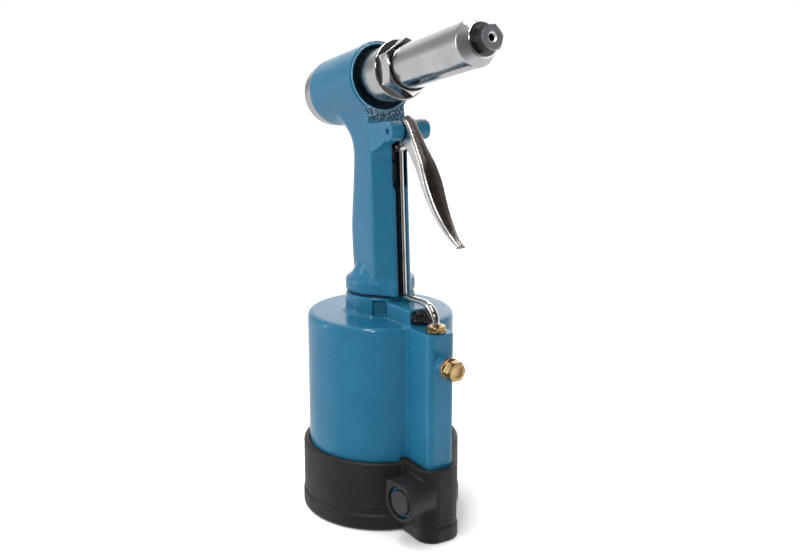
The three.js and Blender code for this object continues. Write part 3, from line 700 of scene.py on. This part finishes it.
def build_silencer():
    """Porous lumps that fill the pocket in the web and bulge out of it."""
    low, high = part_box("silencer")
    x0, x1, z0, z1 = low.x / MM, high.x / MM, low.z / MM, high.z / MM
    obj = block("silencer_foam", x0, x1 - 0.6, -5.2, 5.2, z0, z1 - 0.3)
    for k in range(LUMPS):
        spot = noise.noise_vector(Vector((k * 7.31, k * 3.77, 1.9)))
        y = max(-5.6, min(5.6, spot.x * 10))
        z = z0 + 0.6 + (z1 - z0 - 0.4) * (0.5 + 0.5 * max(-1, min(1, spot.y * 2.6)))
        radius = 1.2 + 1.1 * abs(spot.z)
        lump = [(radius * math.cos(math.radians(a)) if abs(a) < 90 else 0, radius * math.sin(math.radians(a)))
                for a in range(-90, 91, 18)]
        joined(obj, turned("lump", lump, Matrix.Translation((x1 - 0.2 + 3.2 * abs(spot.y), y, z)), 16))
    cast(obj, 0.3, 1)
    for v in obj.data.vertices:
        v.co += v.normal * MM * 0.45 * noise.fractal(v.co / MM * 0.9, 1.0, 2.0, 3)
    return shaded(obj, 70)


finished(build_silencer(), SPONGE, "tool_body", "plastic", "silencer")


# ---- handle and head casting --------------------------------------------------------------------
BACK = [(131, -18), (143, -18.2), (152, -19.2), (165, -20), (178, -18.9), (190, -17.6), (205, -16.5),
        (212, -17.6),
        (217, -20.6), (221, -26), (226, -36), (240, -42)]


def front_at(z):
    return FRONT["x"] + (FRONT["z"] - z) * FRONT["lean"]


def back_at(z):
    if z <= BACK[0][0]:
        return BACK[0][1]
    i = next(k for k in range(1, len(BACK)) if BACK[k][0] >= z)
    p = [BACK[max(0, min(len(BACK) - 1, i + d))][1] for d in (-2, -1, 0, 1)]
    u = (z - BACK[i - 1][0]) / (BACK[i][0] - BACK[i - 1][0])
    eased_in = u * u * (3 - 2 * u)
    straight = p[1] + (p[2] - p[1]) * u
    return straight * 0.6 + (p[1] + (p[2] - p[1]) * eased_in) * 0.4


def handle_ring(z):
    front, back, half = front_at(z), back_at(z), HANDLE["half"]
    middle = min(-4, back + half)
    right = [(front, 0), (front, 4.9), (front - 10.2, 11.7), (front - 12.4, half - 0.1), (front - 16, half)]
    rear = [(middle - (middle - back) * math.sin(math.pi / 2 * i / 14), half * math.cos(math.pi / 2 * i / 14))
            for i in range(15)]
    upper = right + rear
    lower = [(x, -y) for x, y in reversed(upper[1:-1])]
    return [(x, y, z) for x, y in upper + lower]


def build_casting():
    bottom, collar = HANDLE["bottom"], HANDLE["collar"]
    levels = [bottom - 1.2] + [134 + 2.5 * k for k in range(43)]
    body = loft("handle_and_head_casting", [handle_ring(z) for z in levels])
    foot = turned("foot", [(0, bottom - 1.3), (19.2, bottom - 1.3), (20, bottom - 0.5), (20, collar - 0.8),
                           (19.2, collar),
                           (16, collar + 2.6), (13, collar + 9), (0, collar + 9)], steps=160)
    lug = side_prism("lug", [(-5, 209.4), (9.5, 209.6), (14, 210.6), (18.5, 212.6), (22.3, 215), (25, 216.7),
                             *arc(*PIVOT, 5.5, -90, 90, 20), (7.8, 225.3), (2, 238), (-5, 238)], -12, 12)
    head = rod("head", HEAD["radius"], HEAD["rear"], HEAD["front"] + 8, IN_BARREL, 160)
    joined(body, foot, head)
    cast(body, 0.6, 8)
    blend_in(body, lambda p: min(1, max(0, (p.z - 214) / 8)) * (1 if p.x < 6 else 0), 45)
    joined(body, lug)
    slope = math.tan(BARREL["tilt"])

    def front_x(z):
        return (BARREL["x"] + HEAD["front"] * AHEAD.x
                - (z - BARREL["z"] - HEAD["front"] * AHEAD.z) * slope)

    ahead = side_prism("ahead", [(front_x(225.3), 225.3), (PIVOT[0], 228.1), (70, 228.1), (70, 310),
                                 (front_x(310), 310)], -40, 30)
    slot = side_prism("slot", [(14.6, 204), (60, 204), (60, 240), (22, 240), (18, 226), (14.6, 222)], -4.1,
                      4.1)

    def groove(z0, z1, size):
        half, deep = size["half"], size["deep"]
        outline = [(front_at(z0) - deep, z0), (40, z0), (40, z1), (front_at(z1) - deep, z1)]
        return side_prism("groove", outline, -half, half)

    flare = []
    for z, size in ((189.8, NARROW_GROOVE), (192.2, WIDE_GROOVE)):
        half, x = size["half"], front_at(z) - size["deep"]
        flare.append([(x, -half, z), (40, -half, z), (40, half, z), (x, half, z)])
    counterbore = turned("counterbore", [(0, -8.6), (17, -8.6), (17.4, 12), (0, 12)], IN_BARREL, 160)
    cut(body, ahead, slot, groove(125, 190, NARROW_GROOVE), groove(192, 213, WIDE_GROOVE),
        loft("flare", flare),
        counterbore)
    cast(body, 0.5, 6)
    bore = turned("bore", [(0, HEAD["rear"] - 2), (HEAD["bore"], HEAD["rear"] - 2), (HEAD["bore"], -10.4),
                           (11, -10.4),
                           (11, 5), (0, 5)],
                  IN_BARREL, 128)
    cut(body, bore, rod("oil", HANDLE["oil_bore"], 100, 218, None, 64),
        rod("pin_hole", 1.6, -20, 20, TOWARD_PIVOT, 48))
    spigot = cut(rod("spigot", 12.9, 99.2, bottom + 0.4, None, 96),
                 rod("oil", HANDLE["oil_bore"], 98, 136, None, 64),
                 rod("nut_room", 10, 98, 110, None, 64))
    return joined(body, spigot)


finished(shaded(build_casting(), 42), PAINT, "tool_body", "paint", "handle_casting")

gasket = turned("neck_gasket_ring", [(13.3, 129.2, 0.2), (18.8, 129.2, 0.3), (18.8, 129.9, 0.3),
                                     (13.3, 129.9, 0.2)],
                steps=128)
finished(shaded(gasket), SEAL, "tool_body", "seal", "neck_gasket")

# ---- head and nose ------------------------------------------------------------------------------
cap = turned("rear_end_cap", [
    (3.4, -65.6, 0.2), (12, -65.6, 0.2), (12, -66.4, 0.3), (15, -66.4, 0.8), (17.4, -65.6, 0.8),
    (18.4, -63.4, 1),
    (18.4, -57.6, 0.5), (18, -56.3, 0.3), (15.3, -56.3), (15.3, -51.2, 0.4), (9.6, -51.2, 0.3), (9.6, -53.4),
    (3.4, -53.4)], IN_BARREL, 160)
cut(cap, block("driver_slot", -2, 2, -20, 20, -68, -64.4, IN_BARREL))
finished(eased(cap, 0.14, 40, 2), CAP_SILVER, "tool_body", "silver", "rear_cap")

sleeve = turned("head_end_sleeve", [
    (6.3, -9.2, 0.2), (10.7, -9.2, 0.2), (10.7, -7, 0.1), (15, -7, 0.3), (15, 12.9, 0.5), (14.5, 13.5, 0.4),
    (10.1, 13.5, 0.3), (10.1, 2.4), (8.4, 2.4), (8.4, -2.4), (6.3, -2.4)], IN_BARREL, 160)
finished(shaded(sleeve), SLEEVE_METAL, "tool_body", "chrome", "head_sleeve")

nut = joined(
    turned("hex_lock_nut", [(0, 13.8), (15.7, 13.8, 0.3), (16.3, 14.3, 0.4), (16.3, 15.5, 0.4),
                            (15.7, 16.1, 0.3),
                            (0, 16.1)], IN_BARREL, 160),
    hex_head("hexagon", 26.6, 16, 25.6, 1.4, 0, IN_BARREL))
cut(nut, turned("nut_bore", [(0, 10), (12.25, 10), (12.25, 25.0), (12.9, 25.7), (12.9, 27), (0, 27)],
                IN_BARREL, 128))
finished(eased(nut, 0.3), NUT_CHROME, "tool_body", "chrome", "lock_nut")

casing = turned("nose_barrel", [
    (8.2, 3.2, 0.2), (9.8, 3.2, 0.2), (9.8, 13.4), (NOSE["radius"], NOSE["start"], 0.3),
    (NOSE["radius"], 85.4, 0.9), (8.8, 91.1, 0.5),
    (8, 91.6, 0.5),
    (4.6, 91.6, 0.3), (4.6, 81.6), (9.2, 81.6), (9.2, 12.2), (8.2, 12.2)], IN_BARREL, 200)
finished(shaded(casing), BARREL_CHROME, "tool_body", "chrome", "nose_casing")

tip = joined(
    hex_head("hex_nosepiece", 11.8, NOSE["end"] + 0.3, NOSE["tip"], 0.7, 35, IN_BARREL),
    turned("shank", [(0, 76.6), (2.9, 76.6), (4.3, 82), (4.3, 92.6), (0, 92.6)], IN_BARREL, 64))
cut(tip, turned("tip_bore", [(0, 70), (2.2, 70), (2.2, 90), (1.75, 91), (1.75, 97.4), (2.5, 98.3), (2.5, 110),
                             (0, 110)],
                IN_BARREL, 64))
finished(eased(tip, 0.22), NOSE_BLACK, "tool_body", "black", "nosepiece")

# ---- brass fittings -----------------------------------------------------------------------------
bush = joined(
    hex_head("valve_bush_nut", 9.6, 119.6, 121.9, 0.6, 30, AT_VALVE),
    turned("flange", [(0, 118.6), (5.2, 118.6, 0.2), (5.5, 118.9, 0.2), (5.5, 119.7, 0.2), (0, 119.7)],
           AT_VALVE, 96),
    rod("barrel", 4.1, 107, 118.7, AT_VALVE, 64))
cut(bush, turned("bush_bore", [(0, 100), (2.15, 100), (2.15, 121.4), (2.7, 122), (2.7, 130), (0, 130)],
                 AT_VALVE, 48))
finished(eased(bush, 0.16), BRASS, "tool_body", "brass", "valve_bush")

fitting = joined(
    hex_head("brass_hex_plug", 10, 72.8, 78.3, 0.8, 30, IN_PLUG),
    turned("flange", [(0, 71.2), (6, 71.2, 0.2), (6, 72.5, 0.3), (5.7, 72.9, 0.2), (0, 72.9)], IN_PLUG, 96),
    rod("thread", 3.3, 64.2, 72, IN_PLUG, 64))
cut(fitting, turned("dimple", [(0, 77.9), (2.7, 78.05), (3.4, 78.6), (0, 78.6)], IN_PLUG, 64))
finished(eased(fitting, 0.22), BRASS, "tool_body", "brass", "brass_plug")

washer = turned("copper_washer", [(3.7, 70.4, 0.15), (5.9, 70.4, 0.15), (5.9, 71, 0.15), (3.7, 71, 0.15)],
                IN_PLUG, 96)
finished(shaded(washer), COPPER, "tool_body", "copper", "plug_washer")

# ---- trigger ------------------------------------------------------------------------------------
# Stations down the trigger: face centre x and z, inward direction, half width, depth.
STATIONS = [
    (29.2, 230.4, -100, 3.3, 9.4), (32.6, 228.6, -122, 3.6, 11.6), (36.4, 224.2, -139, 3.7, 11.4),
    (40, 219.6, -142, 4, 9.2), (43.6, 215.2, -142, 4.3, 7.4), (47, 211.2, -143, 4.8, 6.8),
    (50.6, 206.9, -146, 5.3, 6), (55.4, 199, -151, 5.9, 5.2), (59, 192.4, -150, 5.6, 4.7),
    (62.4, 187, -146, 5.1, 4.2), (66, 182.2, -142, 4.5, 3.8), (69.6, 178.2, -136, 3.9, 3.3),
    (73, 174.8, -130, 3.3, 2.9), (76.4, 172, -124, 2.9, 2.5), (79, 170.3, -120, 2.8, 2.2),
    (80.8, 169.4, -118, 2.8, 2)]


def trigger_ring(station, grow):
    x, z, heading, half, depth = station
    inward = Vector((math.cos(math.radians(heading)), 0, math.sin(math.radians(heading))))
    w = half - grow
    corner = min(2.4, w * 0.7)
    crown = [(-w + corner + (2 * w - 2 * corner) * k / 8,
              grow - 0.45 * math.sin(math.pi * k / 8)) for k in range(1, 8)]
    outline = [(-w, depth), *arc(-w + corner, grow + corner, corner, 180, 270, 8), *crown,
               *arc(w - corner, grow + corner, corner, 270, 360, 8), (w, depth)]
    return [tuple(Vector((x, y, z)) + inward * t) for y, t in outline]


def build_trigger():
    fine = curve_through(STATIONS, 110)
    shell = loft("trigger_lever", [trigger_ring(s, 0) for s in fine])
    hollow = [trigger_ring((*s[:4], s[4] + 3), 1.5) for s in fine[7:-7]]
    cut(shell, loft("hollow", hollow))
    outline = [*arc(*LINK, 3, 150, 330, 20), *arc(*PIVOT, 4.7, -30, 150, 20)]
    joined(shell, side_prism("plate", outline, -3.6, -2.2), side_prism("plate", outline, 2.2, 3.6),
           rod("bushes", 4.7, -3.6, 3.6, TOWARD_PIVOT, 64))
    cast(shell, 0.28, 7)
    eyes = [*arc(LINK[0], LINK[1], 1.5, 110, 290, 12), *arc(LINK[0] + 3.1, LINK[1] + 1.1, 1.5, -70, 110, 12)]
    cut(shell, side_prism("eyes", eyes, -6, 6), rod("pin_bore", 1.58, -8, 8, TOWARD_PIVOT, 48),
        block("rod_room", 19, 27.2, -2.2, 2.2, 205, 217))
    return shaded(shell, 50)


finished(build_trigger(), NICKEL, "trigger", "nickel", "trigger")

pin = turned("trigger_hinge_pin", [(0, -10.4), (1.5, -10.4, 0.35), (1.5, 10.4, 0.35), (0, 10.4)],
             TOWARD_PIVOT, 48)
finished(shaded(pin), STEEL, "tool_body", "steel", "trigger_pin")
pin = turned("rod_link_pin", [(0, -3.4), (1.15, -3.4, 0.25), (1.15, 3.4, 0.25), (0, 3.4)], TOWARD_LINK, 48)
finished(shaded(pin), STEEL, "valve_linkage", "steel", "link_pin")

# ---- push rod and crank -------------------------------------------------------------------------
LEAN = math.atan2(ROD_FOOT[0] - LINK[0], LINK[1] - ROD_FOOT[1])
ALONG_ROD = Matrix.Translation((ROD_FOOT[0], 0, ROD_FOOT[1])) @ Matrix.Rotation(-LEAN, 4, "Y")
rod_length = math.hypot(ROD_FOOT[0] - LINK[0], LINK[1] - ROD_FOOT[1])
push = joined(rod("trigger_push_rod", 1.05, -1.2, rod_length - 1.5, ALONG_ROD, 48),
              rod("eye", 2.4, -1.9, 1.9, TOWARD_LINK, 64))
cut(push, rod("eye_bore", 1.25, -4, 4, TOWARD_LINK, 48))
finished(eased(push, 0.18), ROD_CHROME, "valve_linkage", "chrome", "push_rod")

CRANK = [
    (25.2, 131.1, 1.5, 1.2), (28, 131.2, 2.0, 1.4), (34, 131.2, 2.1, 1.5), (40, 131.5, 2.1, 1.6),
    (45.5, 131.7, 2.1, 1.8),
    (50, 131.1, 2.1, 2.0), (53.6, 129.5, 2.1, 2.1), (56.2, 127.2, 2.1, 2.1), (57.6, 124.8, 2.0, 2.0),
    (58, 122.8, 1.9, 1.9),
    (58, 121.4, 1.8, 1.8)]


def build_crank():
    fine = curve_through(CRANK, 90)
    rings = []
    for i, (x, z, half, thick) in enumerate(fine):
        before, after = fine[max(0, i - 1)], fine[min(len(fine) - 1, i + 1)]
        along = Vector((after[0] - before[0], 0, after[1] - before[1])).normalized()
        up = -Vector((0, 1, 0)).cross(along)
        rings.append([tuple(Vector((x, y * half, z)) + up * t * thick) for y,
                      t in arc(0, 0, 1, 0, 352.5, 47)])
    crank = loft("valve_crank_lever", rings)
    return eased(cut(crank, rod("rod_hole", 1.4, -4, 6, ALONG_ROD, 48)), 0.2, 40)


finished(build_crank(), ROD_CHROME, "valve_linkage", "chrome", "valve_crank")


# ---- springs and the kept CAD nodes ---------------------------------------------------------------
def spring_coil(name, radius, wire, z0, z1, coils, place, per_coil=36):
    """A compression spring about a frame's Z axis, with closed coils at both ends."""
    lead = wire * 2.15
    low, high = z0 + wire, z1 - wire
    middle = high - low - 2 * lead
    rings = []
    for i in range(int((coils + 2) * per_coil) + 1):
        turns = i / per_coil
        z = low + lead + middle * (turns - 1) / coils
        if turns < 1:
            z = low + lead * turns
        if turns > coils + 1:
            z = high - lead * (coils + 2 - turns)
        c, s = math.cos(2 * math.pi * turns), math.sin(2 * math.pi * turns)
        rings.append([((radius + u) * c, (radius + u) * s, z + v) for u, v in arc(0, 0, wire, 0, 330, 11)])
    return shaded(loft(name, rings, place), 60)


coil = spring_coil("return_spring_coil", 11, 1.05, -49.6, -21.6, 4.5, IN_BARREL)
finished(coil, STEEL, "tool_body", "steel", "return_spring")
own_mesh(coil)
coil = spring_coil("valve_spring_coil", 3, 0.42, 84.4, 103.6, 6, AT_VALVE)
finished(coil, STEEL, "tool_body", "steel", "valve_spring")
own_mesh(coil)


def crisp_shading():
    """A modifier that shades smoothly and keeps edges over 30 degrees sharp."""
    group = bpy.data.node_groups.new("crisp_shading", "GeometryNodeTree")
    group.interface.new_socket("Geometry", in_out="INPUT", socket_type="NodeSocketGeometry")
    group.interface.new_socket("Geometry", in_out="OUTPUT", socket_type="NodeSocketGeometry")
    start = group.nodes.new("NodeGroupInput")
    end = group.nodes.new("NodeGroupOutput")
    faces = group.nodes.new("GeometryNodeSetShadeSmooth")
    edges = group.nodes.new("GeometryNodeSetShadeSmooth")
    edges.domain = "EDGE"
    edges.inputs["Shade Smooth"].default_value = False
    angle = group.nodes.new("GeometryNodeInputMeshEdgeAngle")
    compare = group.nodes.new("FunctionNodeCompare")
    compare.operation = "GREATER_THAN"
    compare.inputs[1].default_value = math.radians(30)
    group.links.new(start.outputs[0], faces.inputs["Geometry"])
    group.links.new(faces.outputs[0], edges.inputs["Geometry"])
    group.links.new(angle.outputs["Unsigned Angle"], compare.inputs[0])
    group.links.new(compare.outputs[0], edges.inputs["Selection"])
    group.links.new(edges.outputs[0], end.inputs[0])
    return group


CRISP = crisp_shading()
SLOT_LOOKS = {
    "brass": BRASS, "aluminium": ALUMINIUM, "seal": SEAL, "steel": STEEL, "urethane": URETHANE,
    "chrome": ROD_CHROME,
    "copper": COPPER, "plastic": PLASTIC, "silver": CAP_SILVER, "nickel": NICKEL, "black": NOSE_BLACK,
    "rubber": RUBBER,
    "paint": PAINT}
node_slots = {part["node"]: part["material_slot"] for part in frame["record"]["subparts"]}
for name, slot_name in node_slots.items():
    obj = bpy.data.objects.get(name)
    if obj is None or obj.hide_render:
        continue
    obj.data.materials.clear()
    obj.data.materials.append(SLOT_LOOKS[slot_name])
    modifier = obj.modifiers.new("crisp", "NODES")
    modifier.node_group = CRISP


# ---- studio -------------------------------------------------------------------------------------
def build_floor():
    far = 6000
    floor = solid("studio_floor", [(-far, -far, 0), (far, -far, 0), (far, far, 0), (-far, far, 0)],
                  [[0, 1, 2, 3]])
    look = Look("studio_paper", Specular_IOR_Level=0.0)
    look.color(look.blend(look.noise(900, 3), (0.96, 0.96, 0.965), (0.975, 0.975, 0.98)))
    look.roughness(look.remap(look.noise(60, 4), 0.3, 0.7, 0.42, 0.5))
    look.bump(look.noise(1.4, 3), 0.02, 0.2)
    floor.data.materials.append(look.material)
    floor.visible_glossy = False


def build_world():
    """A white room, darker behind the camera and with dark edges beside the softboxes."""
    world = bpy.data.worlds.new("studio_room")
    bpy.context.scene.world = world
    world.use_nodes = True
    tree = world.node_tree
    background = tree.nodes["Background"]
    place = tree.nodes.new("ShaderNodeTexCoord").outputs["Generated"]

    def toward(direction, stops):
        dot = tree.nodes.new("ShaderNodeVectorMath")
        dot.operation = "DOT_PRODUCT"
        dot.inputs[1].default_value = Vector(direction).normalized()
        tree.links.new(place, dot.inputs[0])
        half = tree.nodes.new("ShaderNodeMapRange")
        half.inputs["From Min"].default_value = -1
        tree.links.new(dot.outputs["Value"], half.inputs["Value"])
        ramp = tree.nodes.new("ShaderNodeValToRGB")
        while len(ramp.color_ramp.elements) < len(stops):
            ramp.color_ramp.elements.new(0.5)
        for element, (at, level) in zip(ramp.color_ramp.elements, stops):
            element.position = at
            element.color = (level, level, level, 1)
        tree.links.new(half.outputs["Result"], ramp.inputs["Fac"])
        return ramp.outputs["Color"]

    def times(a, b):
        node = tree.nodes.new("ShaderNodeMix")
        node.data_type = "RGBA"
        node.blend_type = "MULTIPLY"
        node.inputs[0].default_value = 1
        tree.links.new(a, node.inputs[6])
        tree.links.new(b, node.inputs[7])
        return node.outputs[2]

    def mixed(factor, a, b):
        node = tree.nodes.new("ShaderNodeMix")
        node.data_type = "RGBA"
        tree.links.new(factor, node.inputs[0])
        for socket, value in ((node.inputs[6], a), (node.inputs[7], b)):
            if isinstance(value, tuple):
                socket.default_value = value
            else:
                tree.links.new(value, socket)
        return node.outputs[2]

    front = toward((0.78, -0.56, 0.20), [(0, 0.9), (0.50, 0.9), (0.72, 0.30), (0.90, 0.14), (1, 0.2)])
    upper_right = toward((0.55, 0.22, 0.78), [(0, 1), (0.70, 1), (0.84, 0.22), (1, 0.14)])
    upper_left = toward((-0.82, -0.12, 0.56), [(0, 1), (0.86, 1), (0.93, 0.52), (1, 0.45)])
    glow = toward((-0.80, 0.52, 0.24), [(0, 0.86), (0.86, 0.86), (0.95, 2)])
    right = toward((0.75, 0.62, -0.20), [(0, 0.5), (0.84, 0.5), (0.93, 0.95), (1, 1)])
    reflected = times(times(times(times(front, upper_right), upper_left), glow), right)
    shaded_side = toward((0.80, 0.25, 0.20), [(0, 1.0), (0.5, 0.67), (1, 0.40)])
    path = tree.nodes.new("ShaderNodeLightPath")
    room = mixed(path.outputs["Is Diffuse Ray"], reflected, shaded_side)
    room = mixed(path.outputs["Is Camera Ray"], room, (0.5, 0.5, 0.5, 1))
    tree.links.new(room, background.inputs["Color"])
    background.inputs["Strength"].default_value = 2.0


def softbox(name, place, target, size, height, power):
    light = bpy.data.lights.new(name, "AREA")
    light.shape = "RECTANGLE"
    light.size, light.size_y = size, height
    light.energy = power
    obj = bpy.data.objects.new(name, light)
    bpy.context.scene.collection.objects.link(obj)
    obj.location = place
    obj.rotation_euler = (Vector(target) - Vector(place)).to_track_quat("-Z", "Y").to_euler()


def build_camera():
    data = bpy.data.cameras.new("camera")
    data.sensor_width = 36
    data.lens = 48.36
    data.clip_start = 0.01
    data.clip_end = 50
    obj = bpy.data.objects.new("camera", data)
    bpy.context.scene.collection.objects.link(obj)
    place, aim = (0.5140, -0.3047, 0.2852), Vector((-0.8246, 0.5101, -0.2448))
    obj.location = place
    obj.rotation_euler = aim.to_track_quat("-Z", "Y").to_euler()
    bpy.context.scene.camera = obj


build_floor()
build_world()
softbox("top_strip", (-0.10, -0.10, 0.95), (0, 0, 0.15), 1.1, 0.10, 5.2)
softbox("left_strip", (-0.60, -0.90, 0.40), (0, 0, 0.10), 0.10, 0.8, 1.0)
softbox("front_spark", (0.62, -0.62, 0.75), (0, 0, 0.20), 0.14, 0.14, 2.2)
build_camera()
bpy.context.scene.view_settings.view_transform = "Standard"
